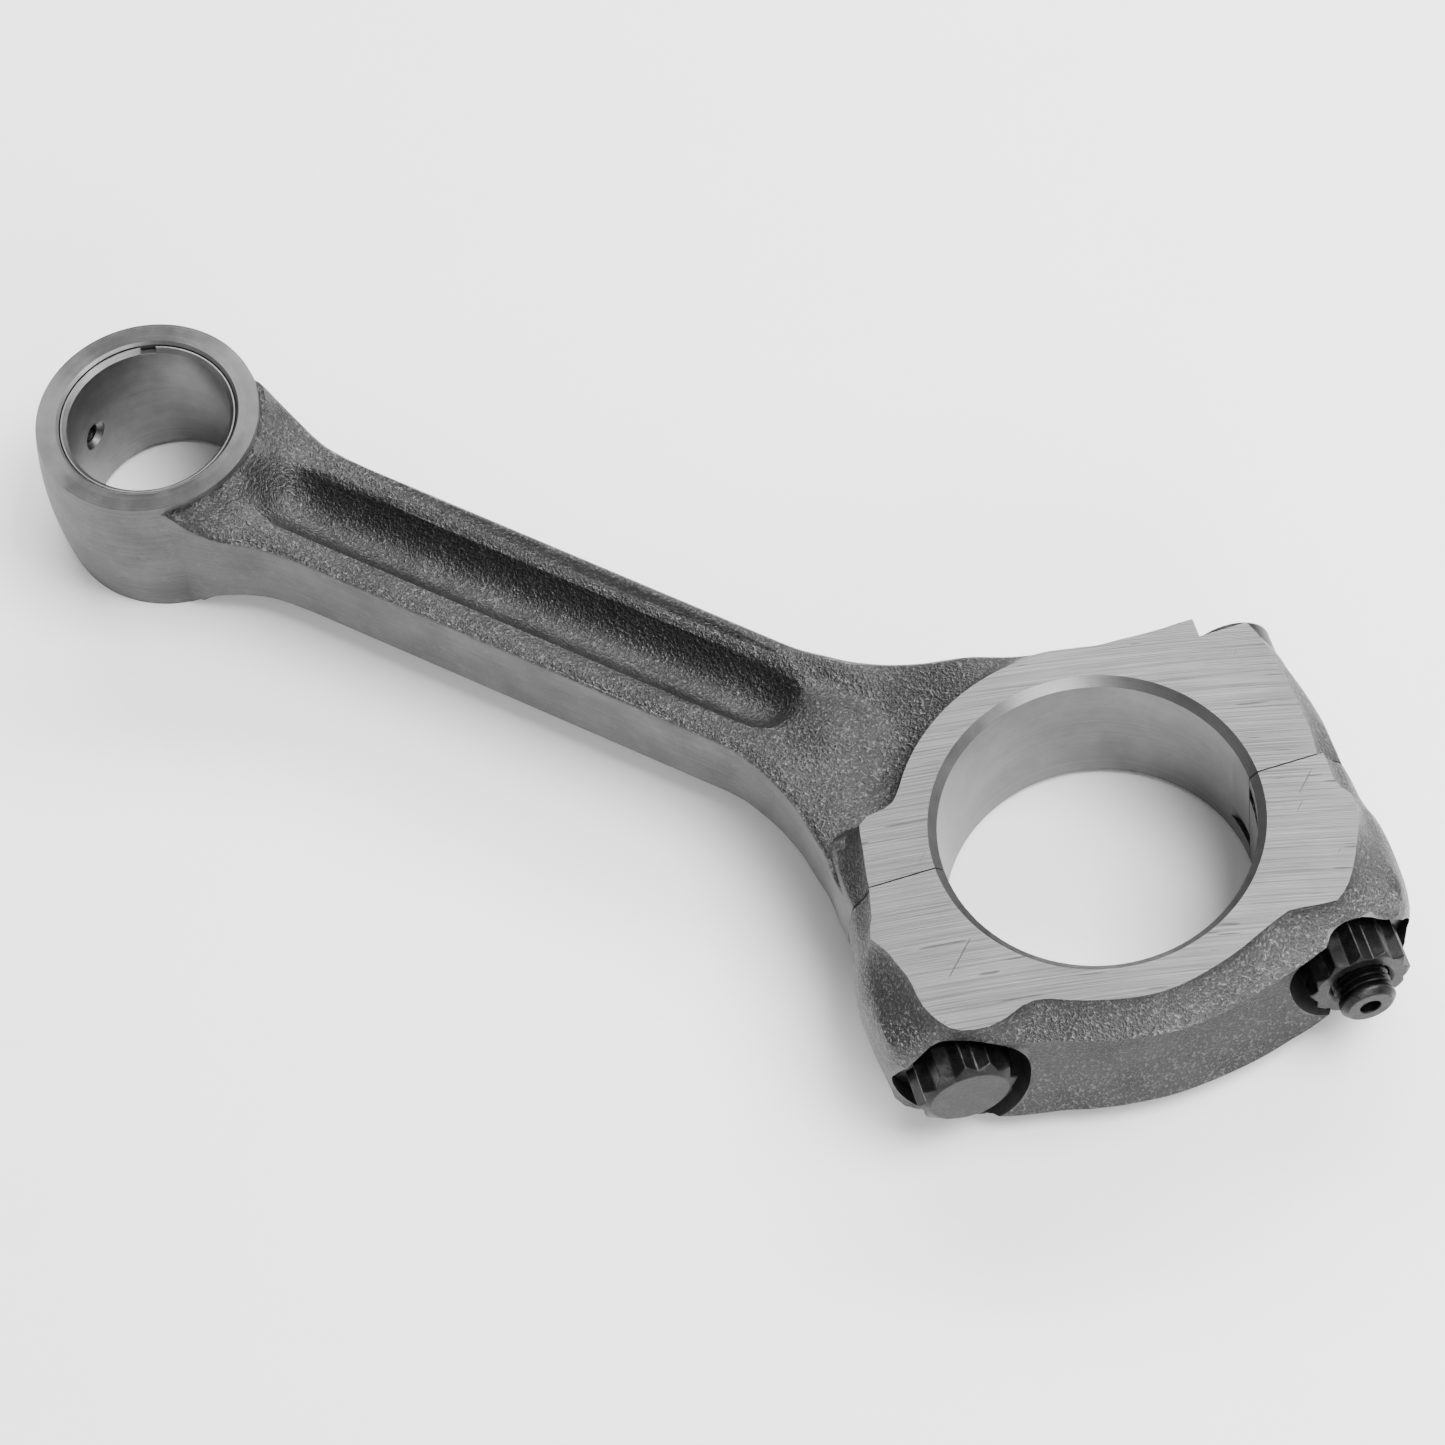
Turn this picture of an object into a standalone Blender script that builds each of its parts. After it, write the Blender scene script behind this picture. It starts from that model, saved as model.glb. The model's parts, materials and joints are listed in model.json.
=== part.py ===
"""A connecting rod with an obliquely split big end.

Modelled about the big-end bore: X runs along the rod with the small end at -X, Z is the
bore direction, and z = 0 is the middle of the forging. At the end the whole is stood on
z = 0 with the middle of its outline at the origin. Sizes are in metres.
"""

import math

import bmesh
import bpy
from mathutils import Matrix, Vector

for old in list(bpy.data.objects):
    bpy.data.objects.remove(old, do_unlink=True)

# ---------------------------------------------------------------- driving sizes

centre_distance = 0.2300
width = 0.0372
joint_angle = math.radians(45)

big_bore_radius = 0.0325
big_bore_chamfer = 0.0018
small_housing_radius = 0.0195
small_housing_chamfer = 0.0006
small_end_wall = 0.0048
small_boss_belly = 0.0017

bush_wall = 0.0012
bush_recess = 0.0008
bush_chamfer = 0.0009
bush_notch_width = 0.0034
bush_notch_depth = 0.0011
bush_notch_angle = math.radians(122)
oil_hole_radius = 0.0023
oil_countersink_radius = 0.0034

shank_half_width = 0.0138
shank_half_thickness = 0.0104
web_half_thickness = 0.0039
pocket_half_width = 0.0080
pocket_run_out_small_end = 0.0130
pocket_run_out_big_end = 0.0090
land_edge_radius = 0.0010
small_end_blend = 0.0110
small_end_blend_start = 0.0009
big_end_blend = 0.0030
big_end_wall = 0.0093
face_step = 0.0014

bolt_wall = 0.0025
thread_radius = 0.0059
seat_depth = 0.0290
screw_spot_face_radius = 0.0137
nut_spot_face_radius = 0.0139
shoulder_depth = 0.0345
shoulder_start = 0.0336

flange_radius = 0.0129
flange_rim = 0.0022
flange_cone = 0.0016
screw_point_radius = 0.0106
screw_head_height = 0.0130
screw_end_face_radius = 0.0083
nut_point_radius = 0.0108
nut_height = 0.0140
nut_end_face_radius = 0.0098
nut_mouth_radius = 0.0070
valley_share = 0.87
points = 12

screw_grip_in_rod = 0.0270
tapped_hole_run_out = 0.0030
bolt_head_radius = 0.0095
bolt_head_height = 0.0062
bolt_stub = 0.0056
bolt_end_chamfer = 0.0011
bolt_centre_hole_radius = 0.0022
bolt_centre_hole_depth = 0.0050
edge_break = 0.0005

pin_radius = 0.0025
pin_half_length = 0.0060
pin_wall = 0.0024
pin_chamfer = 0.0005

tang_width = 0.0046
tang_depth = 0.0020
tang_half_angle = math.radians(15)
cap_tang_height = 0.0111
rod_tang_height = -0.0089

# ---------------------------------------------------------------- fits

gap = 0.0003
half_gap = gap / 2
skim = 0.0012

# ---------------------------------------------------------------- worked out

half_width = width / 2
reach = centre_distance + 2 * big_bore_radius
small_boss_radius = small_housing_radius + small_end_wall
bush_outer_radius = small_housing_radius - gap
bush_bore_radius = bush_outer_radius - bush_wall
bush_half_length = half_width - bush_recess
bolt_hole_radius = thread_radius + gap
bolt_offset = big_bore_radius + bolt_wall + bolt_hole_radius
pin_hole_radius = pin_radius + gap
pin_offset = bolt_hole_radius + pin_wall + pin_hole_radius
nut_end = seat_depth + gap + nut_height
bolt_end = nut_end + bolt_stub
screw_tip = screw_grip_in_rod

# The joint frame: local X runs along the joint line and local -Y from the rod into the cap.
joint_frame = Matrix.Rotation(joint_angle, 4, "Z")

# Outlines of the big end, as (angle round the bore, distance outside the bore) in degrees
# and metres. The angle is 0 at the bolt's end of the joint line, positive into the cap and
# negative into the rod. The face outline is the milled face, the crest outline is the
# widest one below it and the waist outline is the one at mid-thickness.
crest_height = 0.0125
cap_face = [
    (0, 0.0157), (8.5, 0.0161), (12.6, 0.0192), (18, 0.0201), (26, 0.0198), (34, 0.0198),
    (40, 0.0190), (42.5, 0.0161), (48, 0.0109), (60, 0.0089), (74, 0.0085), (90, 0.0088),
    (105, 0.0085), (120, 0.0090), (126, 0.0107), (130.5, 0.0165), (134, 0.0200),
    (140, 0.0228), (145.5, 0.0222), (156, 0.0189), (163, 0.0187), (167.5, 0.0200),
    (172.5, 0.0175), (180, 0.0156),
]
cap_crest = [
    (0, 0.0193), (9, 0.0199), (12.6, 0.0213), (18, 0.0227), (24, 0.0255), (29, 0.0289),
    (33, 0.0305), (36, 0.0293), (40, 0.0255), (45, 0.0216), (55, 0.0185), (62, 0.0169),
    (77, 0.0155), (90, 0.0152), (101, 0.0147), (114.5, 0.0149), (124, 0.0167),
    (129, 0.0183), (136, 0.0209), (141, 0.0241), (146, 0.0295), (149, 0.0305),
    (154, 0.0281), (160, 0.0249), (166, 0.0227), (171, 0.0211), (180, 0.0193),
]
cap_waist = [
    (0, 0.0213), (8, 0.0226), (12.5, 0.0249), (17, 0.0269), (22, 0.0287), (27, 0.0307),
    (32, 0.0320), (36, 0.0315), (40, 0.0275), (44, 0.0225), (50, 0.0175), (57, 0.0151),
    (65, 0.0126), (78, 0.0112), (90, 0.0108), (102, 0.0112), (115, 0.0126),
    (123, 0.0151), (130, 0.0175), (136, 0.0225), (140, 0.0275), (144, 0.0315),
    (148, 0.0320), (153, 0.0307), (158, 0.0287), (163, 0.0269), (167.5, 0.0249),
    (172, 0.0226), (180, 0.0213),
]
cap_lower_growth = [
    (0, 0), (34, 0), (46, 0.0022), (62, 0.0018), (85, 0.0010), (105, 0.0020),
    (118, 0.0030), (130, 0.0040), (142, 0.0010), (150, 0), (180, 0),
]
rod_face = [
    (0, 0.0143), (-6, 0.0152), (-14, 0.0164), (-21, 0.0177), (-27, 0.0195), (-32, 0.0213),
    (-38, 0.0231), (-42, 0.0235), (-49.5, 0.0187), (-56, 0.0143), (-63, 0.0113),
    (-74, 0.0087), (-90, 0.0085), (-150, 0.0085), (-155, 0.0091), (-158, 0.0111),
    (-161.5, 0.0155), (-170, 0.0150), (-180, 0.0156),
]
rod_crest = [
    (0, 0.0195), (-6, 0.0197), (-14, 0.0205), (-21, 0.0215), (-27, 0.0227), (-32, 0.0243),
    (-38, 0.0253), (-42, 0.0255), (-49.5, 0.0197), (-56, 0.0161), (-63, 0.0139),
    (-74, 0.0123), (-88, 0.0127), (-102, 0.0127), (-110, 0.0105), (-150, 0.0095),
    (-155, 0.0115), (-158, 0.0145), (-161.5, 0.0215), (-170, 0.0205), (-180, 0.0193),
]
rod_waist = [
    (0, 0.0213), (-6, 0.0216), (-14, 0.0229), (-21, 0.0239), (-27, 0.0250), (-32, 0.0267),
    (-38, 0.0280), (-42, 0.0265), (-49.5, 0.0203), (-56, 0.0165), (-63, 0.0145),
    (-74, 0.0131), (-88, 0.0139), (-102, 0.0139), (-110, 0.0115), (-150, 0.0105),
    (-155, 0.0155), (-158, 0.0205), (-161.5, 0.0243), (-170, 0.0225), (-180, 0.0213),
]
outline_steps = 72
face_slope = 1.7
rod_side_slopes = (2.0, 2.0)
cap_channel_slopes = (3.4, 1.2)

# The shank in plan: distance from that end's centre, half-width on the shoulder side,
# half-width on the screw side.
shank_at_small_end = [
    (0.0130, 0.0198, 0.0198), (0.0170, 0.0194, 0.0194), (0.0210, 0.0188, 0.0188),
    (0.0260, 0.0176, 0.0176),
    (0.0310, 0.0160, 0.0160), (0.0360, 0.0146, 0.0146), (0.0420, 0.0140, 0.0140),
    (0.0480, shank_half_width, shank_half_width),
]
shank_at_big_end = [
    (0.0800, shank_half_width, shank_half_width), (0.0700, 0.0149, 0.0159),
    (0.0600, 0.0180, 0.0201), (0.0540, 0.0207, 0.0240), (0.0490, 0.0231, 0.0273),
    (0.0440, 0.0256, 0.0318), (0.0390, 0.0284, 0.0355), (0.0340, 0.0323, 0.0396),
    (0.0300, 0.0355, 0.0430),
]
pocket_end_at_small_end = 0.0265
pocket_end_at_big_end = 0.0705

# Swells and hollows that the dies leave in the web between the pocket and the big end:
# middle in plan, size along and across the shank, and rise.
web_swells = [
    (-0.0610, 0.0005, 0.0060, 0.0065, 0.0020), (-0.0680, 0.0130, 0.0060, 0.0022, 0.0012),
    (-0.0640, 0.0088, 0.0055, 0.0026, -0.0014), (-0.0555, 0.0080, 0.0050, 0.0042, -0.0018),
    (-0.0475, 0.0005, 0.0050, 0.0070, -0.0022), (-0.0465, -0.0080, 0.0045, 0.0050, -0.0014),
    (-0.0400, 0.0240, 0.0100, 0.0075, 0.0036), (-0.0500, -0.0170, 0.0060, 0.0050, 0.0008),
]
shank_spans = (
    (-centre_distance + shank_at_small_end[0][0], -centre_distance + 0.0460, 0.0018),
    (-centre_distance + 0.0460, -0.0860, 0.0120), (-0.0860, -shank_at_big_end[-1][0], 0.0018),
)
lip_softness = 1.35

# ---------------------------------------------------------------- modelling helpers


def new_object(name, mesh_data):
    """A mesh object from a bmesh, with its faces turned outwards."""
    bmesh.ops.recalc_face_normals(mesh_data, faces=mesh_data.faces)
    mesh = bpy.data.meshes.new(name)
    mesh_data.to_mesh(mesh)
    mesh_data.free()
    obj = bpy.data.objects.new(name, mesh)
    bpy.context.collection.objects.link(obj)
    return obj


def turned(name, profile, steps=48):
    """A solid turned about local Z from a profile of (radius, height) points.

    The first corner stands half a facet off local X, so that no edge of a hole lies in
    the middle plane of the forging.
    """
    shape = bmesh.new()
    start = math.pi / steps
    corners = [
        shape.verts.new((radius * math.cos(start), radius * math.sin(start), height))
        for radius, height in profile
    ]
    edges = [shape.edges.new(pair) for pair in zip(corners, corners[1:] + corners[:1])]
    bmesh.ops.spin(
        shape, geom=corners + edges, cent=(0, 0, 0), axis=(0, 0, 1),
        angle=math.tau, steps=steps, use_merge=True,
    )
    bmesh.ops.remove_doubles(shape, verts=shape.verts, dist=1e-7)
    axis_edges = [
        edge for edge in shape.edges
        if all(Vector((vert.co.x, vert.co.y)).length < 1e-7 for vert in edge.verts)
    ]
    bmesh.ops.delete(shape, geom=axis_edges, context="EDGES")
    return new_object(name, shape)


def lofted(name, rings):
    """A solid skinned over closed rings of equal length, flat at both ends."""
    shape = bmesh.new()
    rows = [[shape.verts.new(point) for point in ring] for ring in rings]
    for low, high in zip(rows, rows[1:]):
        for index, vert in enumerate(low):
            after = (index + 1) % len(low)
            shape.faces.new((vert, low[after], high[after], high[index]))
    shape.faces.new(rows[0])
    shape.faces.new(rows[-1])
    return new_object(name, shape)


def block(name, low, high):
    """A box between two corners."""
    shape = bmesh.new()
    bmesh.ops.create_cube(shape, size=1)
    size = Vector(high) - Vector(low)
    middle = (Vector(high) + Vector(low)) / 2
    bmesh.ops.scale(shape, vec=size, verts=shape.verts)
    bmesh.ops.translate(shape, vec=middle, verts=shape.verts)
    return new_object(name, shape)


def combine(target, tool, operation):
    """Adds, cuts or keeps the shared part with an exact Boolean, and hides the tool."""
    tool.hide_render = True
    tool.display_type = "WIRE"
    modifier = target.modifiers.new(tool.name, "BOOLEAN")
    modifier.operation = operation
    modifier.object = tool
    modifier.solver = "EXACT"


def material(name, colour, roughness, metallic):
    """A plain Principled material."""
    made = bpy.data.materials.new(name)
    made.use_nodes = True
    shader = made.node_tree.nodes["Principled BSDF"]
    shader.inputs["Base Color"].default_value = (*colour, 1)
    shader.inputs["Roughness"].default_value = roughness
    shader.inputs["Metallic"].default_value = metallic
    return made


def finish(obj, parent, surface):
    """Gives a piece its material, its parent and smooth round faces."""
    obj.data.materials.append(surface)
    obj.parent = parent
    obj.data.shade_smooth()
    obj.data.set_sharp_from_angle(angle=math.radians(28))


def at_joint(across, deep, height=0.0):
    """A point from its place along the joint line, into the cap, and up the bore."""
    return joint_frame @ Vector((across, -deep, height))


def along_bolt(side):
    """Places local Z along a bolt, towards the cap, with the joint plane at z = 0."""
    tilt = Matrix.Rotation(math.radians(90), 4, "X")
    return Matrix.Translation(at_joint(side * bolt_offset, 0)) @ joint_frame @ tilt


def mix(low, high, share):
    return low + (high - low) * share


def joined_slope(before, after):
    """The slope where two stretches of a curve meet, flat at a peak or a dip."""
    if before * after <= 0:
        return 0
    return 2 * before * after / (before + after)


def curve_through(stations, place):
    """The value at a place on a smooth curve through (place, value) stations."""
    ordered = sorted(stations)
    slopes = [
        (after[1] - before[1]) / (after[0] - before[0])
        for before, after in zip(ordered, ordered[1:])
    ]
    for index, slope in enumerate(slopes):
        start, low = ordered[index]
        end, high = ordered[index + 1]
        if place > end and index < len(slopes) - 1:
            continue
        length = end - start
        share = min(max((place - start) / length, 0), 1)
        leave = joined_slope(slopes[max(index - 1, 0)], slope) * length
        arrive = joined_slope(slope, slopes[min(index + 1, len(slopes) - 1)]) * length
        return (
            low * (1 + 2 * share) * (1 - share) ** 2 + leave * share * (1 - share) ** 2
            + high * share ** 2 * (3 - 2 * share) - arrive * share ** 2 * (1 - share)
        )


def big_end_half(name, outlines, lower_growth, slopes, sweep, edge):
    """Half of the big end: one ring of outline points for each height.

    The two slopes shape its side between the waist and the crest, above and below the
    middle: 1 is straight, and more holds to the waist for longer.
    """
    face, crest, waist = outlines
    upper = [crest_height * share for share in (0, 0.34, 0.66, 0.86, 1)]
    upper += [mix(crest_height, half_width, share) for share in (0.2, 0.42, 0.66, 0.85)]
    upper.append(half_width + skim)
    rings = []
    for height in [-level for level in reversed(upper[1:])] + upper:
        level = abs(height)
        ring = []
        for step in range(outline_steps + 1):
            angle = sweep * step / outline_steps
            widest = big_bore_radius + curve_through(crest, angle)
            if height < 0 and lower_growth:
                widest += curve_through(lower_growth, angle)
            if level <= crest_height:
                share = (level / crest_height) ** slopes[0 if height > 0 else 1]
                narrowest = big_bore_radius + curve_through(waist, angle)
                radius = mix(narrowest, widest, share)
            else:
                share = max(0, (half_width - level) / (half_width - crest_height))
                milled = big_bore_radius + curve_through(face, angle)
                radius = mix(milled, widest, share ** face_slope)
            across = radius * math.cos(math.radians(angle))
            deep = radius * math.sin(math.radians(angle))
            if step in (0, outline_steps):
                deep = edge
            ring.append(at_joint(across, deep, height))
        rings.append(ring)
    return lofted(name, rings)


def bore_cutter(name, radius, chamfer):
    """A through cutter with a 45 degree chamfer at both faces."""
    mouth = radius + chamfer + skim
    return turned(
        name,
        [
            (0, half_width + skim), (mouth, half_width + skim), (radius, half_width - chamfer),
            (radius, chamfer - half_width), (mouth, -half_width - skim), (0, -half_width - skim),
        ],
        steps=96,
    )


def rod_cutter(name, radius, low, high, matrix, steps=48):
    """A round cutter along local Z."""
    cutter = turned(name, [(0, low), (0, high), (radius, high), (radius, low)], steps)
    cutter.matrix_world = matrix
    return cutter


# ---------------------------------------------------------------- the shank


def shank_half_widths(place):
    """Half-widths on the shoulder side and on the screw side at a distance along X."""
    stations = [(-centre_distance + x, a, b) for x, a, b in shank_at_small_end]
    stations += [(-x, a, b) for x, a, b in shank_at_big_end]
    shoulder = curve_through([(x, a) for x, a, b in stations], place)
    screw = curve_through([(x, b) for x, a, b in stations], place)
    return shoulder, screw


def blend_up(distance, radius):
    """How far a round fillet of this radius stands up at a distance from its wall."""
    inside = min(max(distance, 0), radius)
    return radius - math.sqrt(radius ** 2 - (radius - inside) ** 2)


def shank_height(x, y):
    """Half-thickness of the shank over a point."""
    level = shank_half_thickness
    for middle_x, middle_y, along, across, rise in web_swells:
        away = ((x - middle_x) / along) ** 2 + ((y - middle_y) / across) ** 2
        level += rise * math.exp(-away)
    small_end_start = pocket_end_at_small_end + pocket_run_out_small_end - centre_distance
    big_end_start = -pocket_end_at_big_end - pocket_run_out_big_end
    past_small = max(0, small_end_start - x) / pocket_run_out_small_end
    past_big = max(0, x - big_end_start) / pocket_run_out_big_end
    from_middle = min(1, math.hypot(y / pocket_half_width, past_small, past_big))
    level -= (level - web_half_thickness) * (1 - from_middle ** 3) ** lip_softness
    from_small = math.hypot(x + centre_distance, y) - small_boss_radius - small_end_blend_start
    from_big = math.hypot(x, y) - big_bore_radius - big_end_wall
    level += blend_up(from_small, small_end_blend) + blend_up(from_big, big_end_blend)
    return min(level, half_width - face_step)


def shank(name):
    """Rings across the shank, each one run over the top and back along the underside."""
    places = [shank_spans[0][0]]
    for start, end, step in shank_spans:
        count = round((end - start) / step)
        places += [mix(start, end, index / count) for index in range(1, count + 1)]
    rings = []
    for x in places:
        shoulder, screw = shank_half_widths(x)
        top = []
        for side, half in ((-1, screw), (1, shoulder)):
            land = half - land_edge_radius - pocket_half_width
            across = [pocket_half_width * share for share in (0.3, 0.55, 0.75, 0.9, 1)]
            across += [pocket_half_width + land * share for share in (0.12, 0.26, 0.42, 0.6, 0.8, 1)]
            line = [(side * y, shank_height(x, side * y)) for y in across]
            edge_height = shank_height(x, side * half)
            for turn in (30, 60, 90):
                out = land_edge_radius * (1 - math.sin(math.radians(turn)))
                down = land_edge_radius * (1 - math.cos(math.radians(turn)))
                line.append((side * (half - out), edge_height - down))
            top += line[::-1] if side < 0 else [(0, shank_height(x, 0))] + line
        ring = [Vector((x, y, z)) for y, z in top]
        ring += [Vector((x, y, -z)) for y, z in reversed(top)]
        rings.append(ring)
    return lofted(name, rings)


# ---------------------------------------------------------------- materials

milled_steel = material("milled_steel", (0.42, 0.42, 0.43), 0.38, 0.85)
forged_cap_steel = material("forged_cap_steel", (0.16, 0.16, 0.165), 0.55, 0.75)
bush_metal = material("bush_metal", (0.47, 0.46, 0.44), 0.32, 0.9)
black_oxide = material("black_oxide", (0.035, 0.035, 0.038), 0.42, 0.6)
pin_steel = material("pin_steel", (0.5, 0.5, 0.51), 0.3, 0.9)

rod_frame = bpy.data.objects.new("rod_frame", None)
bpy.context.collection.objects.link(rod_frame)

# ---------------------------------------------------------------- cutters shared by pieces

screw_side = along_bolt(-1)
bolt_side = along_bolt(1)
big_bore = bore_cutter("cut_big_bore", big_bore_radius, big_bore_chamfer)
top_mill = block("cut_top_mill", (-reach, -reach, half_width), (reach, reach, reach))
base_mill = block("cut_base_mill", (-reach, -reach, -reach), (reach, reach, -half_width))


def pin_hole(name, side):
    """A blind hole across the joint for one dowel pin."""
    depth = pin_half_length + gap
    matrix = along_bolt(side) @ Matrix.Translation((0, side * pin_offset, 0))
    return rod_cutter(name, pin_hole_radius, -depth, depth, matrix, 24)


bolt_pin_hole = pin_hole("cut_bolt_side_pin", 1)
screw_pin_hole = pin_hole("cut_screw_side_pin", -1)


def tang_slot(name, height):
    """The bearing's tang slot, milled by a wheel whose axis is along the bore."""
    end_across = big_bore_radius * math.cos(tang_half_angle)
    end_deep = big_bore_radius * math.sin(tang_half_angle)
    deepest = big_bore_radius + tang_depth
    rise = deepest - end_across
    wheel = (rise ** 2 + end_deep ** 2) / (2 * rise)
    place = Matrix.Translation(at_joint(deepest - wheel, 0, height))
    return rod_cutter(name, wheel, -tang_width / 2, tang_width / 2, place)


# ---------------------------------------------------------------- connecting rod body

small_centre = Matrix.Translation((-centre_distance, 0, 0))

rod_outlines = (rod_face, rod_crest, rod_waist)
rod_body = big_end_half("connecting_rod_body", rod_outlines, None, rod_side_slopes, -180, skim)
combine(rod_body, shank("add_shank"), "UNION")
boss_profile = [(0, half_width + skim), (0, -half_width - skim)]
for step in range(-6, 7):
    level = step / 6
    belly = small_boss_belly * (1 - level ** 2)
    boss_profile.append((small_boss_radius + belly, level * (half_width + skim)))
small_boss = turned("add_small_boss", boss_profile, steps=96)
small_boss.matrix_world = small_centre
combine(rod_body, small_boss, "UNION")
combine(rod_body, top_mill, "DIFFERENCE")
combine(rod_body, base_mill, "DIFFERENCE")
joint_cut = block("cut_joint", (-reach, -reach, -reach), (reach, half_gap, reach))
joint_cut.matrix_world = joint_frame
combine(rod_body, joint_cut, "DIFFERENCE")
combine(rod_body, big_bore, "DIFFERENCE")
small_bore = bore_cutter("cut_small_bore", small_housing_radius, small_housing_chamfer)
small_bore.matrix_world = small_centre
combine(rod_body, small_bore, "DIFFERENCE")
shoulder = block("cut_shoulder", (shoulder_start, shoulder_depth, -reach), (reach, reach, reach))
shoulder.matrix_world = joint_frame
combine(rod_body, shoulder, "DIFFERENCE")
bolt_hole = rod_cutter("cut_bolt_hole", bolt_hole_radius, -reach, reach, bolt_side)
combine(rod_body, bolt_hole, "DIFFERENCE")
hole_end = -screw_tip - tapped_hole_run_out
tapped_hole = rod_cutter("cut_tapped_hole", bolt_hole_radius, hole_end, reach, screw_side)
combine(rod_body, tapped_hole, "DIFFERENCE")
combine(rod_body, bolt_pin_hole, "DIFFERENCE")
combine(rod_body, screw_pin_hole, "DIFFERENCE")
combine(rod_body, tang_slot("cut_rod_tang", rod_tang_height), "DIFFERENCE")
oil_way = small_centre @ Matrix.Rotation(math.radians(-90), 4, "Y")
oil_hole = rod_cutter("cut_oil_hole", oil_hole_radius, 0, small_boss_radius + skim, oil_way, 24)
combine(rod_body, oil_hole, "DIFFERENCE")
finish(rod_body, rod_frame, milled_steel)

# ---------------------------------------------------------------- bearing cap

cap_outlines = (cap_face, cap_crest, cap_waist)
cap = big_end_half(
    "bearing_cap", cap_outlines, cap_lower_growth, cap_channel_slopes, 180, half_gap,
)
combine(cap, top_mill, "DIFFERENCE")
combine(cap, base_mill, "DIFFERENCE")
combine(cap, big_bore, "DIFFERENCE")
for side_name, place, spot_face_radius in (
    ("screw", screw_side, screw_spot_face_radius), ("nut", bolt_side, nut_spot_face_radius),
):
    spot_faced_hole = turned(
        f"cut_cap_{side_name}_hole",
        [
            (0, -skim), (bolt_hole_radius, -skim), (bolt_hole_radius, seat_depth),
            (spot_face_radius, seat_depth), (spot_face_radius, reach), (0, reach),
        ],
    )
    spot_faced_hole.matrix_world = place
    combine(cap, spot_faced_hole, "DIFFERENCE")
combine(cap, bolt_pin_hole, "DIFFERENCE")
combine(cap, screw_pin_hole, "DIFFERENCE")
combine(cap, tang_slot("cut_cap_tang", cap_tang_height), "DIFFERENCE")
finish(cap, rod_frame, forged_cap_steel)

# ---------------------------------------------------------------- small-end bush

bush = turned(
    "small_end_bush",
    [
        (bush_bore_radius, bush_half_length - bush_chamfer),
        (bush_bore_radius, bush_chamfer - bush_half_length),
        (bush_bore_radius + bush_chamfer, -bush_half_length),
        (bush_outer_radius, -bush_half_length),
        (bush_outer_radius, bush_half_length),
        (bush_bore_radius + bush_chamfer, bush_half_length),
    ],
    steps=96,
)
bush.matrix_world = small_centre
countersink = turned(
    "cut_oil_countersink",
    [
        (0, 0), (oil_countersink_radius, 0),
        (oil_countersink_radius, bush_bore_radius),
        (oil_hole_radius, bush_bore_radius + oil_countersink_radius - oil_hole_radius),
        (oil_hole_radius, small_boss_radius), (0, small_boss_radius),
    ],
    steps=24,
)
countersink.matrix_world = oil_way
combine(bush, countersink, "DIFFERENCE")
notch = block(
    "cut_bush_notch",
    (0, -bush_notch_width / 2, bush_half_length - bush_notch_depth),
    (small_boss_radius, bush_notch_width / 2, reach),
)
notch.matrix_world = small_centre @ Matrix.Rotation(bush_notch_angle, 4, "Z")
combine(bush, notch, "DIFFERENCE")
finish(bush, rod_frame, bush_metal)

# ---------------------------------------------------------------- fasteners


def star(name, point_radius, low, high):
    """The 12-point drive: pointed all round, with straight flanks."""
    shape = bmesh.new()
    ring = []
    for step in range(points * 2):
        radius = point_radius if step % 2 == 0 else point_radius * valley_share
        angle = math.tau * step / (points * 2)
        corner = (radius * math.cos(angle), radius * math.sin(angle), low)
        ring.append(shape.verts.new(corner))
    base = shape.faces.new(ring)
    grown = bmesh.ops.extrude_face_region(shape, geom=[base])["geom"]
    top = [item for item in grown if isinstance(item, bmesh.types.BMVert)]
    bmesh.ops.translate(shape, vec=(0, 0, high - low), verts=top)
    return new_object(name, shape)


def drive(name, point_radius, low, high, face_radius):
    """A 12-point drive with its end turned to a chamfer."""
    made = star(name, point_radius, low, high)
    drop = (point_radius - face_radius) * math.tan(math.radians(30))
    envelope = turned(
        f"{name}_envelope",
        [
            (0, low - skim), (point_radius + skim, low - skim),
            (point_radius + skim, high - drop - skim * math.tan(math.radians(30))),
            (face_radius, high), (face_radius - skim, high + skim), (0, high + skim),
        ],
    )
    combine(made, envelope, "INTERSECT")
    return made


head_start = seat_depth + gap
flange_top = head_start + flange_rim + flange_cone

cap_screw = turned(
    "cap_screw",
    [
        (0, -screw_tip), (thread_radius - edge_break * 2, -screw_tip),
        (thread_radius, -screw_tip + edge_break * 2), (thread_radius, head_start),
        (flange_radius, head_start), (flange_radius, head_start + flange_rim),
        (screw_point_radius * valley_share, flange_top), (0, flange_top),
    ],
)
screw_end = head_start + screw_head_height
screw_drive = drive(
    "add_screw_drive", screw_point_radius, head_start + flange_rim / 2, screw_end,
    screw_end_face_radius,
)
for piece in (screw_drive, bpy.data.objects["add_screw_drive_envelope"]):
    piece.matrix_world = screw_side
cap_screw.matrix_world = screw_side
combine(cap_screw, screw_drive, "UNION")
finish(cap_screw, rod_frame, black_oxide)

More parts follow.
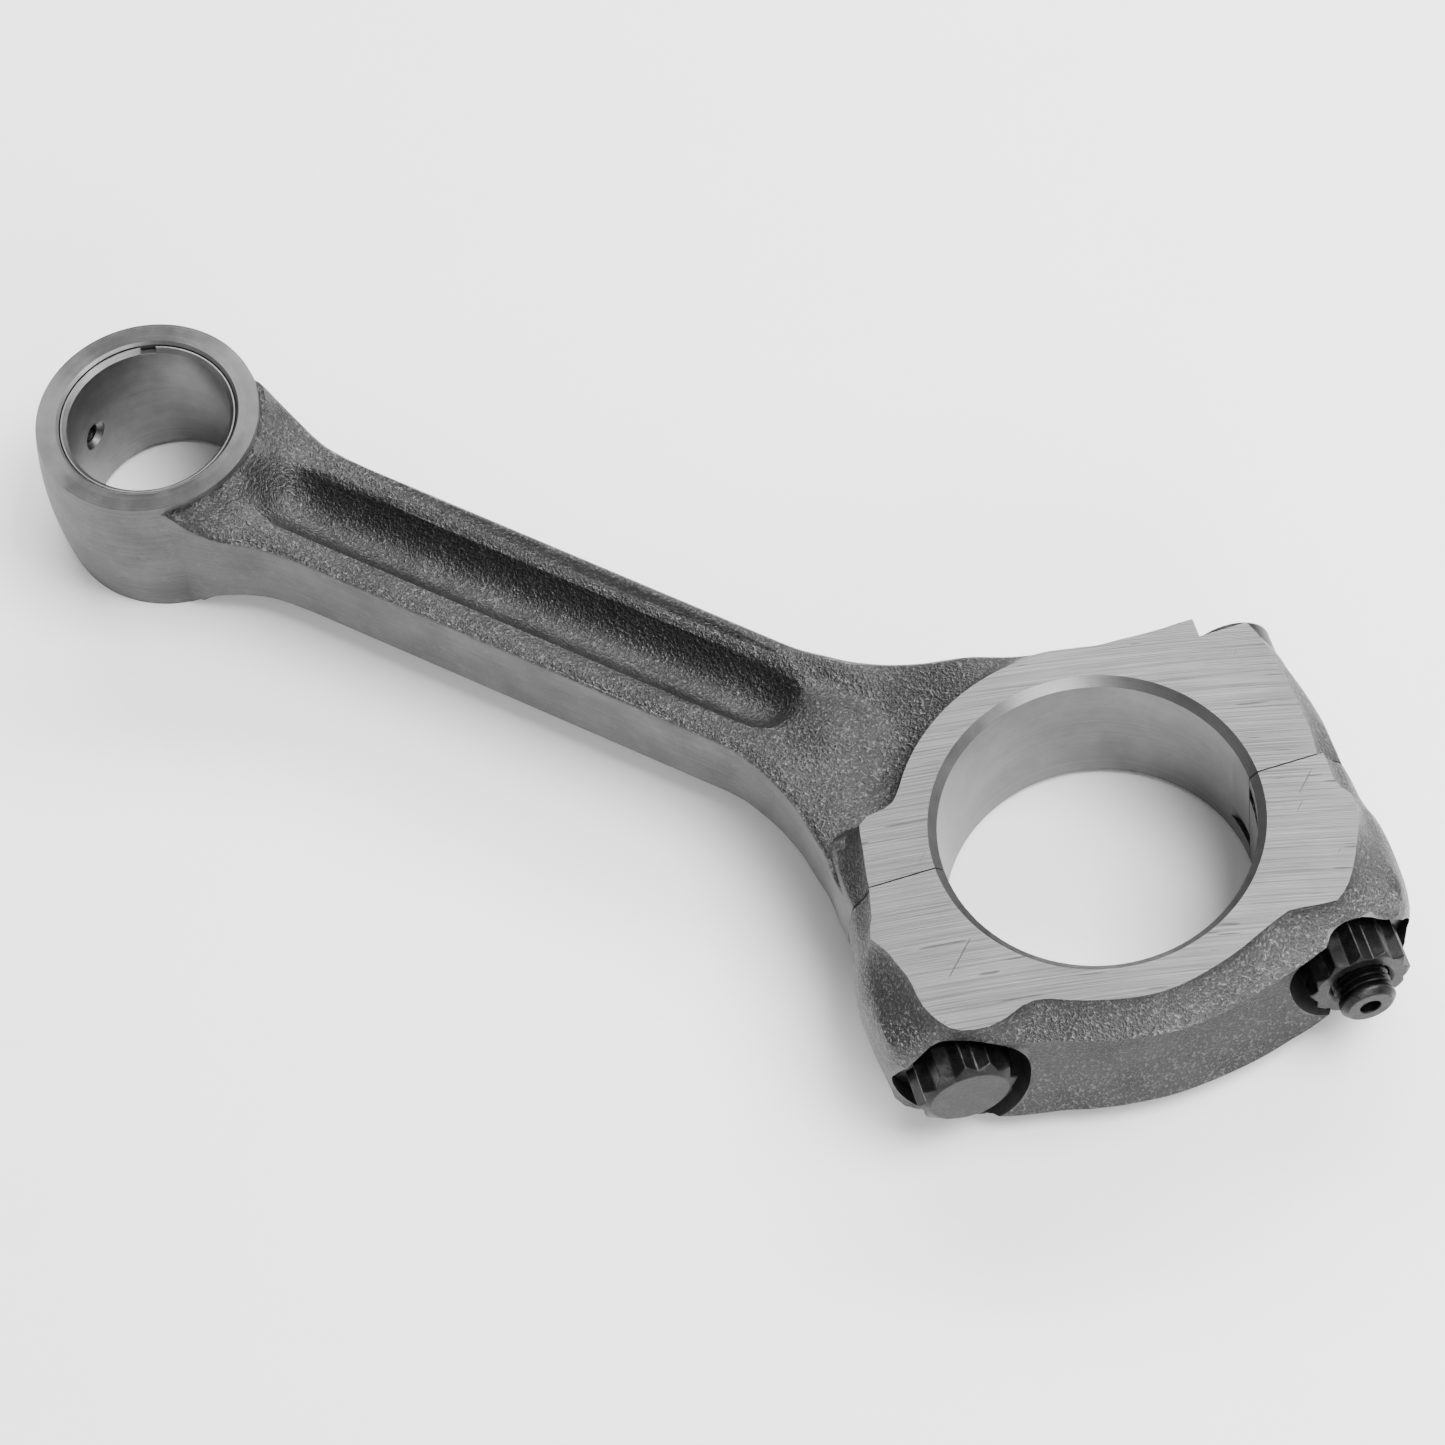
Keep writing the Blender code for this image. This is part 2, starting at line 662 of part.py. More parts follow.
bolt_nut = turned(
    "bolt_nut",
    [
        (0, head_start), (flange_radius, head_start), (flange_radius, head_start + flange_rim),
        (nut_point_radius * valley_share, flange_top), (0, flange_top),
    ],
)
nut_drive = drive(
    "add_nut_drive", nut_point_radius, head_start + flange_rim / 2, nut_end, nut_end_face_radius,
)
nut_bore = turned(
    "cut_nut_bore",
    [
        (0, 0), (bolt_hole_radius, 0), (bolt_hole_radius, nut_end - nut_mouth_radius + bolt_hole_radius),
        (nut_mouth_radius + skim, nut_end + skim), (0, nut_end + skim),
    ],
)
for piece in (nut_drive, bpy.data.objects["add_nut_drive_envelope"], nut_bore):
    piece.matrix_world = bolt_side
bolt_nut.matrix_world = bolt_side
combine(bolt_nut, nut_drive, "UNION")
combine(bolt_nut, nut_bore, "DIFFERENCE")
finish(bolt_nut, rod_frame, black_oxide)

head_seat = -shoulder_depth - gap
head_back = head_seat - bolt_head_height
through_bolt = turned(
    "through_bolt",
    [
        (0, head_back), (bolt_head_radius - edge_break, head_back),
        (bolt_head_radius, head_back + edge_break), (bolt_head_radius, head_seat),
        (thread_radius, head_seat), (thread_radius, bolt_end - bolt_end_chamfer),
        (thread_radius - bolt_end_chamfer, bolt_end),
        (bolt_centre_hole_radius, bolt_end),
        (bolt_centre_hole_radius, bolt_end - bolt_centre_hole_depth),
        (0, bolt_end - bolt_centre_hole_depth - bolt_centre_hole_radius),
    ],
)
through_bolt.matrix_world = bolt_side
head_flat = block("cut_head_flat", (-reach, -reach, -reach), (shoulder_start + gap, reach, reach))
head_flat.matrix_world = joint_frame
combine(through_bolt, head_flat, "DIFFERENCE")
finish(through_bolt, rod_frame, black_oxide)

# ---------------------------------------------------------------- dowel pins

for side, side_name in ((1, "bolt"), (-1, "screw")):
    pin = turned(
        f"dowel_pin_{side_name}_side",
        [
            (0, -pin_half_length), (pin_radius - pin_chamfer, -pin_half_length),
            (pin_radius, pin_chamfer - pin_half_length),
            (pin_radius, pin_half_length - pin_chamfer),
            (pin_radius - pin_chamfer, pin_half_length), (0, pin_half_length),
        ],
        steps=24,
    )
    pin.matrix_world = along_bolt(side) @ Matrix.Translation((0, side * pin_offset, 0))
    finish(pin, rod_frame, pin_steel)

# ---------------------------------------------------------------- stand it on z = 0

for obj in bpy.data.objects:
    if obj is not rod_frame and obj.parent is None:
        obj.parent = rod_frame
bpy.context.view_layer.update()
graph = bpy.context.evaluated_depsgraph_get()
corners = [
    obj.matrix_world @ vert.co
    for obj in bpy.data.objects
    if obj.type == "MESH" and not obj.hide_render
    for vert in obj.evaluated_get(graph).data.vertices
]
middle_x = (min(c.x for c in corners) + max(c.x for c in corners)) / 2
middle_y = (min(c.y for c in corners) + max(c.y for c in corners)) / 2
rod_frame.location = (-middle_x, -middle_y, half_width)
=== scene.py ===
"""A forged connecting rod with its obliquely split big end, bolted up, on a pale floor."""

import json
import math

import bpy
from mathutils import Matrix, Vector

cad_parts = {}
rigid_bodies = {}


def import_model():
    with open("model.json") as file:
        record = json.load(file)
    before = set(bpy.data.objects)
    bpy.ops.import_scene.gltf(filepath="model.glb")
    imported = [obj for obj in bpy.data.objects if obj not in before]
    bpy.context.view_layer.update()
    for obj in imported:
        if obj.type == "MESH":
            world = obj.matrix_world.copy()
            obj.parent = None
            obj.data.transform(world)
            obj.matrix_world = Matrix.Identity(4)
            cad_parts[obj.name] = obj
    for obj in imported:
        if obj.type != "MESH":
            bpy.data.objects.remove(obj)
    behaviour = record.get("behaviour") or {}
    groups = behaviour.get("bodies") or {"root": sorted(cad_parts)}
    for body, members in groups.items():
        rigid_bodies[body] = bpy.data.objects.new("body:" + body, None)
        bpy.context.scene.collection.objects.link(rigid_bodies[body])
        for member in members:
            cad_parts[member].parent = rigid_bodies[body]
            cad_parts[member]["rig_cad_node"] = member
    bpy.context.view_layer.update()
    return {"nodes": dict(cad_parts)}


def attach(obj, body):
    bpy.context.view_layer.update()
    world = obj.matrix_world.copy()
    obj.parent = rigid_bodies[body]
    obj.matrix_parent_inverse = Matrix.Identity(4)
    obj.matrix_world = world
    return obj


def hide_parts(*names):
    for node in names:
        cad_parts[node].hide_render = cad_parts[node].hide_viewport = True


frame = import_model()

# ============================================================ rod body
# The steel forging with its small-end eye, I-section shank and the upper half of the big
# end. It is shot-blasted and left dark, its flash line is ground off along the sides, and
# its side faces, oblique joint and bores are machined bright.

# In metres: X runs along the rod with the small end at -X, Z is the bore direction, and
# the rod lies on the floor at z = 0.
width = 0.0372
centre_distance = 0.2300
big_bore_radius = 0.0325
big_bore_chamfer = 0.0020
small_housing_radius = 0.0195
small_housing_chamfer = 0.0007
big_end = Vector((0.094444, 0.000558, width / 2))
small_end = big_end - Vector((centre_distance, 0, 0))
joint_turn = math.radians(45)


class Wire:
    """One output of a finish's nodes. Wires take part in sums like numbers."""

    def __init__(self, finish, socket):
        self.finish = finish
        self.socket = socket

    def work_out(self, operation, first, second):
        node = self.finish.tree.nodes.new("ShaderNodeMath")
        node.operation = operation
        for place, value in enumerate((first, second)):
            self.finish.plug(node.inputs[place], value)
        return Wire(self.finish, node.outputs[0])

    def __add__(self, other):
        return self.work_out("ADD", self, other)

    def __radd__(self, other):
        return self.work_out("ADD", other, self)

    def __sub__(self, other):
        return self.work_out("SUBTRACT", self, other)

    def __rsub__(self, other):
        return self.work_out("SUBTRACT", other, self)

    def __mul__(self, other):
        return self.work_out("MULTIPLY", self, other)

    def __rmul__(self, other):
        return self.work_out("MULTIPLY", other, self)

    def __pow__(self, other):
        return self.work_out("POWER", self, other)

    def between(self, low, high):
        """0 below low, 1 above high, and a soft step in between."""
        node = self.finish.tree.nodes.new("ShaderNodeMapRange")
        node.interpolation_type = "SMOOTHSTEP"
        for name, value in (("Value", self), ("From Min", low), ("From Max", high)):
            self.finish.plug(node.inputs[name], value)
        return Wire(self.finish, node.outputs["Result"])


class Finish:
    """A material under construction."""

    def __init__(self, name):
        self.material = bpy.data.materials.new(name)
        self.material.use_nodes = True
        self.tree = self.material.node_tree
        self.shader = self.tree.nodes["Principled BSDF"]

    def plug(self, socket, value):
        if isinstance(value, Wire):
            self.tree.links.new(value.socket, socket)
        else:
            socket.default_value = value

    def node(self, kind, inputs, output=0, **settings):
        """Any node: its inputs by name or number, its settings, and the output to use."""
        made = self.tree.nodes.new(kind)
        for name, value in settings.items():
            setattr(made, name, value)
        for name, value in inputs.items():
            self.plug(made.inputs[name], value)
        return Wire(self, made.outputs[output])

    def place(self, origin=(0, 0, 0), turn=0.0):
        """Object coordinates from an origin, turned about Z, as X, Y and Z wires."""
        raw = self.node("ShaderNodeTexCoord", {}, "Object")
        shifted = self.node(
            "ShaderNodeVectorMath", {0: raw, 1: tuple(origin)}, operation="SUBTRACT"
        )
        turned = self.node(
            "ShaderNodeVectorRotate", {"Vector": shifted, "Angle": -turn}, rotation_type="Z_AXIS"
        )
        apart = self.tree.nodes.new("ShaderNodeSeparateXYZ")
        self.plug(apart.inputs[0], turned)
        return [Wire(self, socket) for socket in apart.outputs]

    def point(self, x, y, z):
        return self.node("ShaderNodeCombineXYZ", {0: x, 1: y, 2: z})

    def noise(self, point, scale, detail=3.0, roughness=0.55):
        inputs = {"Vector": point, "Scale": scale, "Detail": detail, "Roughness": roughness}
        return self.node("ShaderNodeTexNoise", inputs, "Fac")

    def grains(self, point, scale):
        return self.node("ShaderNodeTexVoronoi", {"Vector": point, "Scale": scale}, "Distance")

    def blend(self, share, low, high):
        """A colour between two colours."""
        return self.node("ShaderNodeMix", {0: share, 6: low, 7: high}, 2, data_type="RGBA")

    def bump(self, height, distance, strength=1.0, under=None):
        inputs = {"Height": height, "Distance": distance, "Strength": strength}
        if under:
            inputs["Normal"] = under
        return self.node("ShaderNodeBump", inputs)

    def done(self, colour, roughness, normal, metallic=1.0):
        self.plug(self.shader.inputs["Base Color"], colour)
        self.plug(self.shader.inputs["Roughness"], roughness)
        self.plug(self.shader.inputs["Metallic"], metallic)
        self.plug(self.shader.inputs["Normal"], normal)
        return self.material


def grey(level):
    return (level, level, level, 1)


def forged_finish(name, tone):
    """Shot-blasted forging skin: fine dimples with bright worn peaks, over patchy scale."""
    steel = Finish(name)
    x, y, z = steel.place()
    point = steel.point(x, y, z)
    stir = steel.node(
        "ShaderNodeTexNoise", {"Vector": point, "Scale": 700.0, "Detail": 2.0}, "Color"
    )
    wandering = steel.node(
        "ShaderNodeVectorMath", {0: stir, "Scale": 0.0011}, operation="SCALE"
    )
    stirred = steel.node("ShaderNodeVectorMath", {0: point, 1: wandering}, operation="ADD")
    dimples = steel.grains(stirred, scale=1250)
    small_dimples = steel.grains(stirred, scale=2700)
    skin = steel.noise(point, scale=2100, detail=3, roughness=0.65)
    patches = steel.noise(point, scale=55, detail=4)
    wave = steel.noise(point, scale=150, detail=2)
    shape = dimples * 0.5 + small_dimples * 0.3 + skin * 0.6
    swell = steel.bump(wave, distance=0.0005, strength=0.4)
    normal = steel.bump(shape, distance=0.00034, under=swell)
    peaks = (skin * 0.8 + dimples * 0.25).between(0.53, 0.72)
    scale = (patches * 0.8 + wave * 0.3).between(0.35, 0.8)
    dark = steel.blend(scale, grey(tone * 0.65), grey(tone))
    colour = steel.blend(peaks, dark, grey(tone * 2.1))
    roughness = 0.36 - peaks * 0.10 + skin * 0.06
    return steel.done(colour, roughness, normal, metallic=0.93)


def trimmed_finish(name):
    """The ground flash line: even mid-grey, with faint drag lines along the rod."""
    steel = Finish(name)
    x, y, z = steel.place()
    point = steel.point(x, y, z)
    drag = steel.noise(steel.point(x * 60, y * 60, z * 1500), scale=1, detail=3)
    skin = steel.noise(point, scale=1300, detail=4, roughness=0.7)
    patches = steel.noise(point, scale=90, detail=3)
    fleck = steel.noise(point, scale=420, detail=4, roughness=0.7).between(0.56, 0.66)
    normal = steel.bump(skin * 0.8 + drag * 0.5, distance=0.00018, strength=0.8)
    share = (patches * 0.6 + drag * 0.3 + skin * 0.3).between(0.35, 0.85)
    ground = steel.blend(share, grey(0.065), grey(0.125))
    colour = steel.blend(fleck * 0.15, ground, grey(0.22))
    return steel.done(colour, 0.44 + skin * 0.1, normal, metallic=0.9)


def milled_finish(name, turn):
    """A ground face: long fine lines, slightly bowed, with a few deeper scratches."""
    bow = 0.9
    stray_turn = turn + 1.0
    steel = Finish(name)
    along, across, up = steel.place(big_end, turn)
    bowed = across + along * along * bow

    def lines_of(lengthwise, crosswise, detail, roughness=0.55):
        point = steel.point(along * lengthwise, bowed * crosswise, up * 60)
        return steel.noise(point, scale=1, detail=detail, roughness=roughness)

    fine = lines_of(40, 5200, detail=2, roughness=0.6)
    lines = lines_of(20, 2600, detail=3, roughness=0.65)
    broad = lines_of(9, 300, detail=2)
    cloud = steel.noise(steel.point(along, across, up), scale=35, detail=3)
    gouge = steel.noise(steel.point(along * 70, bowed * 1100 + 40, up * 60), scale=1, detail=1)
    stray_along, stray_across, stray_up = steel.place(big_end, stray_turn)
    stray = steel.point(stray_along * 60, stray_across * 1300, stray_up * 60)
    score = steel.noise(stray, scale=1, detail=1)
    scratches = gouge.between(0.70, 0.74) + score.between(0.745, 0.765)
    height = lines * 0.8 + fine * 0.5 + broad * 0.3 - scratches * 0.9
    normal = steel.bump(height, distance=0.00009, strength=0.9)
    share = (lines * 0.6 + fine * 0.45 + cloud * 0.2 - scratches * 0.4).between(0.40, 0.86)
    colour = steel.blend(share, grey(0.078), grey(0.205))
    return steel.done(colour, 0.36 + lines * 0.14, normal, metallic=0.95)


def turned_finish(name, centre, low, high, roughness, painted_sheen=0.0):
    """A faced or bored surface: fine rings about a bore, with soft cloudy handling marks, and,
    when asked for, a painted highlight that sweeps round the bore in a fan.
    """
    steel = Finish(name)
    x, y, z = steel.place(centre)
    radius = (x * x + y * y) ** 0.5
    point = steel.point(x, y, z)
    ring = steel.point(radius * 4200, z * 4200, 0.5)
    rings = steel.noise(ring, scale=1, detail=3, roughness=0.6)
    cloud = steel.noise(point, scale=55, detail=4, roughness=0.6)
    blotch = steel.noise(point, scale=240, detail=4, roughness=0.65)
    # Painted highlight: a fan that lightens two opposite sectors round the bore, like a light
    # sweeping across the turned face.
    angle = steel.node("ShaderNodeMath", {0: y, 1: x}, operation="ARCTAN2")
    painted_highlight_fan = steel.node("ShaderNodeMath", {0: angle * 2 - 1.1}, operation="COSINE")
    normal = steel.bump(rings, distance=0.00004, strength=0.7)
    share = (rings * 0.35 + cloud * 0.6 + blotch * 0.25 + painted_highlight_fan * painted_sheen).between(0.30, 0.90)
    colour = steel.blend(share, grey(low), grey(high))
    return steel.done(colour, roughness + blotch * 0.12, normal, metallic=0.95)


forged_steel = forged_finish("forged_steel", tone=0.046)
# A lighter copy of the forged skin, used as a painted highlight on the shank's rounded edges.
painted_edge_highlight = forged_finish("painted_edge_highlight", tone=0.105)
trimmed_steel = trimmed_finish("trimmed_steel")
milled_face = milled_finish("milled_face", math.radians(34))
joint_face = milled_finish("joint_face", math.radians(45))
big_bore = turned_finish("big_bore", big_end, low=0.11, high=0.22, roughness=0.28)
# The small end face carries the painted highlight fan round its bore.
small_end_face = turned_finish(
    "small_end_face", small_end, low=0.05, high=0.16, roughness=0.26, painted_sheen=0.22
)
bush_bore = turned_finish("bush_bore", small_end, low=0.13, high=0.27, roughness=0.26)


def pick(obj):
    bpy.ops.object.select_all(action="DESELECT")
    obj.select_set(True)
    bpy.context.view_layer.objects.active = obj


def bench_copy(node, name, smooth_angle):
    """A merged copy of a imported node, with its flat faces whole again."""
    pick(frame["nodes"][node])
    bpy.ops.object.duplicate()
    piece = bpy.context.active_object
    piece.name = name
    piece.data.name = name
    piece.data.materials.clear()
    del piece["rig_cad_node"]
    bpy.ops.mesh.customdata_custom_splitnormals_clear()
    bpy.ops.object.mode_set(mode="EDIT")
    bpy.ops.mesh.select_all(action="SELECT")
    bpy.ops.mesh.remove_doubles(threshold=0.00001)
    bpy.ops.mesh.dissolve_limited(angle_limit=math.radians(0.4))
    bpy.ops.object.mode_set(mode="OBJECT")
    bpy.ops.object.shade_smooth_by_angle(angle=math.radians(smooth_angle))
    return piece


def soften(piece, chosen, passes):
    """Eases the creases of the forged skin, and leaves its machined neighbours alone."""
    kept = {
        vert for face in piece.data.polygons if not chosen(face.center, face.normal)
        for vert in face.vertices
    }
    pick(piece)
    bpy.ops.object.mode_set(mode="EDIT")
    bpy.ops.mesh.select_mode(type="VERT")
    bpy.ops.mesh.select_all(action="DESELECT")
    bpy.ops.object.mode_set(mode="OBJECT")
    for vert in piece.data.vertices:
        vert.select = vert.index not in kept
    bpy.ops.object.mode_set(mode="EDIT")
    bpy.ops.mesh.vertices_smooth(factor=0.5, repeat=passes)
    bpy.ops.object.mode_set(mode="OBJECT")


def paint(piece, surface, chosen=None):
    """Gives a material to the faces that are chosen by centre and direction, or to all."""
    piece.data.materials.append(surface)
    slot = len(piece.data.materials) - 1
    for face in piece.data.polygons:
        if chosen is None or chosen(face.center, face.normal):
            face.material_index = slot


square_on = 0.98
side_slope = 0.30


def at_faces(point, direction):
    """The two milled side faces."""
    depth = 0.0002
    return abs(direction.z) > square_on and (point.z > width - depth or point.z < depth)


def at_big_end_faces(point, direction):
    return at_faces(point, direction) and point.x > 0


def at_small_end_faces(point, direction):
    return at_faces(point, direction) and point.x < 0


def flat_distance(point, centre):
    return math.hypot(point.x - centre.x, point.y - centre.y)


def on_forging(point, direction):
    """The skin of the shank and web, between the milled faces and the trimmed sides."""
    margin = 0.0008
    eye_reach = 0.0262
    crown_reach = 0.0425
    inside = margin < point.z < width - margin
    past_eye = point.x > small_end.x + eye_reach
    before_crown = flat_distance(point, big_end) > crown_reach
    return inside and past_eye and before_crown and abs(direction.z) > side_slope


def on_land_edge(point, direction):
    """The rounded outer edges of the shank, which get a painted highlight."""
    land_start = 0.0118
    land_slope = 0.93
    eye_reach = 0.03
    crown_reach = 0.045
    off_middle = point.y - small_end.y
    beside = abs(off_middle) > land_start and side_slope < abs(direction.z) < land_slope
    outwards = direction.y * off_middle > 0
    along = small_end.x + eye_reach < point.x < big_end.x - crown_reach
    return beside and outwards and along


def on_trimmed_side(point, direction):
    """The upright sides, as far as the forged shoulders of the big end."""
    crown_reach = 0.012
    return abs(direction.z) < side_slope and point.x < big_end.x - crown_reach


def on_bore(centre, radius, chamfer):
    """Faces of a bore and of its chamfers, which all look towards its axis."""
    slack = 0.0005
    inward_slope = 0.3

    def chosen(point, direction):
        inward = Vector((centre.x - point.x, centre.y - point.y, 0)).normalized()
        near = radius - slack < flat_distance(point, centre) < radius + chamfer
        return near and direction.dot(inward) > inward_slope

    return chosen


def on_joint(point, direction):
    """Faces of the oblique joint."""
    depth = 0.0004
    normal = Vector((math.sin(joint_turn), -math.cos(joint_turn), 0))
    away = (Vector(point) - big_end).dot(normal)
    return abs(away) < depth and abs(direction.dot(normal)) > square_on


rod = bench_copy("connecting_rod_body", "rod_forging", smooth_angle=38)
soften(rod, on_forging, passes=3)
paint(rod, forged_steel)
# Painted highlight along the shank's rounded outer edges.
paint(rod, painted_edge_highlight, on_land_edge)
paint(rod, trimmed_steel, on_trimmed_side)
paint(rod, milled_face, at_big_end_faces)
paint(rod, small_end_face, at_small_end_faces)
paint(rod, joint_face, on_joint)
paint(rod, big_bore, on_bore(big_end, big_bore_radius, big_bore_chamfer))
paint(rod, bush_bore, on_bore(small_end, small_housing_radius, small_housing_chamfer))
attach(rod, "rod")
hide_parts("connecting_rod_body")

# ============================================================ bearing cap
# The lower half of the big end, a second forging with a channel round its back. It is
# spot-faced for the fasteners, and milled and bored together with the rod.

bolt_offset = 0.0412
seat_depth = 0.0290
spot_face_radius = 0.0139

cap_skin = forged_finish("cap_skin", tone=0.062)
spot_face = turned_finish("spot_face", small_end, low=0.06, high=0.13, roughness=0.40)


def bolt_place(side):
    """Local Z runs along a bolt towards the cap, with the joint plane at local z = 0."""
    joint = Matrix.Translation(big_end) @ Matrix.Rotation(joint_turn, 4, "Z")
    upright = Matrix.Rotation(math.radians(90), 4, "X")
    return joint @ Matrix.Translation((side * bolt_offset, 0, 0)) @ upright


def on_spot_face(side):
    """The seat that is milled round a bolt hole, and the round wall above it."""
    wall = spot_face_radius + 0.0002
    seat = seat_depth - 0.0001
    to_bench = bolt_place(side).inverted()

    def chosen(point, direction):
        upright = to_bench @ Vector(point)
        return math.hypot(upright.x, upright.y) < wall and upright.z > seat

    return chosen


cap = bench_copy("bearing_cap", "cap_forging", smooth_angle=38)
paint(cap, cap_skin)
for side in (-1, 1):
    paint(cap, spot_face, on_spot_face(side))
paint(cap, milled_face, at_faces)
paint(cap, joint_face, on_joint)
paint(cap, big_bore, on_bore(big_end, big_bore_radius, big_bore_chamfer))
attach(cap, "cap")
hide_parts("bearing_cap")

# ============================================================ small-end bush
# A thin turned sleeve with chamfered mouths, an oil hole and a locating notch. It is
# pressed into the eye and stays there.

bush = bench_copy("small_end_bush", "bush_sleeve", smooth_angle=25)
paint(bush, bush_bore)
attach(bush, "rod")
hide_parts("small_end_bush")

# ============================================================ dowel pins
# Two ground steel pins, pressed into the rod and standing out of its joint face, which
# keep the cap in line.

for side in ("bolt", "screw"):
    pin = bench_copy(f"dowel_pin_{side}_side", f"ground_pin_{side}", smooth_angle=30)
    paint(pin, big_bore)
    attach(pin, "rod")
    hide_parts(f"dowel_pin_{side}_side")

# ============================================================ fasteners
# A twelve-point flange screw, and a bolt with a twelve-point flange nut. They are of
# black-oxide steel with eased edges, and each thread is cut into its shank.

thread_radius = 0.0059
thread_root = 0.0050
pitch = 0.0015
head_start = 0.0293
screw_head_height = 0.0130
screw_end = head_start + screw_head_height
bolt_end = 0.0489

# Heights along a bolt, from the joint: where a shank is turned down to the thread's
# root, and where the coil of thread starts and ends in that stretch.
screw_turned = (-0.0262, -0.0060)
screw_coil = (-0.0258, -0.0066)
bolt_turned = (0.0240, bolt_end - 0.0018)
bolt_coil = (0.0246, bolt_end - 0.0021)


def black_finish(name, dark, rubbed_tone):
    """Black-oxide fastener steel, rubbed grey in patches, over fine machining marks."""
    steel = Finish(name)
    x, y, z = steel.place()
    point = steel.point(x, y, z)
    patches = steel.noise(point, scale=260, detail=4, roughness=0.6)
    skin = steel.noise(point, scale=2400, detail=3, roughness=0.6)
    drag = steel.noise(steel.point(x * 260, y * 2600, z * 600), scale=1, detail=3)
    specks = steel.grains(point, scale=900)
    normal = steel.bump(skin + specks * 0.3 + drag * 0.5, distance=0.00006, strength=0.7)
    rubbed = (patches * 0.7 + skin * 0.2 + drag * 0.2).between(0.50, 0.78)
    colour = steel.blend(rubbed, grey(dark), grey(rubbed_tone))
    return steel.done(colour, 0.26 + patches * 0.2, normal, metallic=0.8)


black_oxide = black_finish("black_oxide", dark=0.011, rubbed_tone=0.045)
rubbed_end = black_finish("rubbed_end", dark=0.016, rubbed_tone=0.044)


def fastener(node, name, body, side):
    """A working copy of a fastener, stood upright on the bench with its edges eased."""
    piece = bench_copy(node, name, smooth_angle=25)
    piece.matrix_world = bolt_place(side).inverted()
    pick(piece)
    bpy.ops.object.transform_apply()
    easing = piece.modifiers.new("eased_edges", "BEVEL")
    easing.width = 0.00022
    easing.segments = 2
    easing.limit_method = "ANGLE"
    easing.angle_limit = math.radians(28)
    bpy.ops.object.modifier_apply(modifier=easing.name)
    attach(piece, body)
    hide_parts(node)
    return piece


def turn_down(piece, start, end):
    """Cuts a groove at the thread's root between two heights of a shank."""
    step = 0.0005
    shank = thread_radius * 1.02
    thinner = thread_root / thread_radius
    pick(piece)
    bpy.ops.object.mode_set(mode="EDIT")
    for height in (start, start + step, end - step, end):
        bpy.ops.mesh.select_all(action="SELECT")
        bpy.ops.mesh.bisect(plane_co=(0, 0, height), plane_no=(0, 0, 1))
    bpy.ops.mesh.select_all(action="DESELECT")
    bpy.ops.object.mode_set(mode="OBJECT")
    for vert in piece.data.vertices:
        out = math.hypot(vert.co.x, vert.co.y)
        inside = start + step / 2 < vert.co.z < end - step / 2
        vert.select = inside and thread_root < out < shank
    bpy.ops.object.mode_set(mode="EDIT")
    bpy.ops.transform.resize(value=(thinner, thinner, 1), center_override=(0, 0, 0))
    bpy.ops.object.mode_set(mode="OBJECT")


def set_in_place(piece, side):
    """Moves a finished fastener from the bench into its hole."""
    piece.matrix_world = bolt_place(side)
    pick(piece)
    bpy.ops.object.transform_apply()


def thread(name, body, slot, side, start, end):
    """A coil of thread between two heights of a shank, from a ridge with a narrow crest."""
    bury = 0.0002
    crest_gap = 0.00002
    crest_share = 0.16
    foot = pitch * 0.94
    depth = thread_radius - thread_root + bury - crest_gap
    reach = thread_root - bury + depth / 2
    bpy.ops.object.select_all(action="DESELECT")
    bpy.ops.mesh.primitive_plane_add(size=1)
    coil = bpy.context.active_object
    coil.name = name
    coil.data.name = name
    bpy.ops.object.mode_set(mode="EDIT")
    bpy.ops.transform.rotate(value=math.pi / 2, orient_axis="X", center_override=(0, 0, 0))
    bpy.ops.transform.resize(value=(depth, 1, foot), center_override=(0, 0, 0))
    bpy.ops.object.mode_set(mode="OBJECT")
    for vert in coil.data.vertices:
        vert.select = vert.co.x > 0
    bpy.ops.object.mode_set(mode="EDIT")
    bpy.ops.mesh.select_mode(type="VERT")
    bpy.ops.transform.resize(value=(1, 1, crest_share), center_override=(0, 0, 0))
    bpy.ops.mesh.select_all(action="SELECT")
    bpy.ops.transform.translate(value=(reach, 0, start))
    bpy.ops.object.mode_set(mode="OBJECT")
    winding = coil.modifiers.new("winding", "SCREW")
    winding.axis = "Z"
    winding.screw_offset = pitch
    winding.iterations = round((end - start) / pitch)
    winding.steps = 48
    winding.render_steps = 48
    bpy.ops.object.modifier_apply(modifier=winding.name)
    bpy.ops.object.mode_set(mode="EDIT")
    bpy.ops.mesh.select_all(action="SELECT")
    bpy.ops.mesh.remove_doubles(threshold=0.000001)
    bpy.ops.mesh.fill_holes(sides=4)
    bpy.ops.mesh.select_all(action="SELECT")
    bpy.ops.mesh.normals_make_consistent(inside=False)
    bpy.ops.object.mode_set(mode="OBJECT")
    bpy.ops.object.shade_smooth_by_angle(angle=math.radians(30))
    paint(coil, black_oxide)
    set_in_place(coil, side)
    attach(coil, body)


def on_screw_end(point, direction):
    """The flat end of the screw's head, which a socket rubs."""
    depth = 0.0004
    upwards = 0.95
    return direction.z > upwards and point.z > screw_end - depth


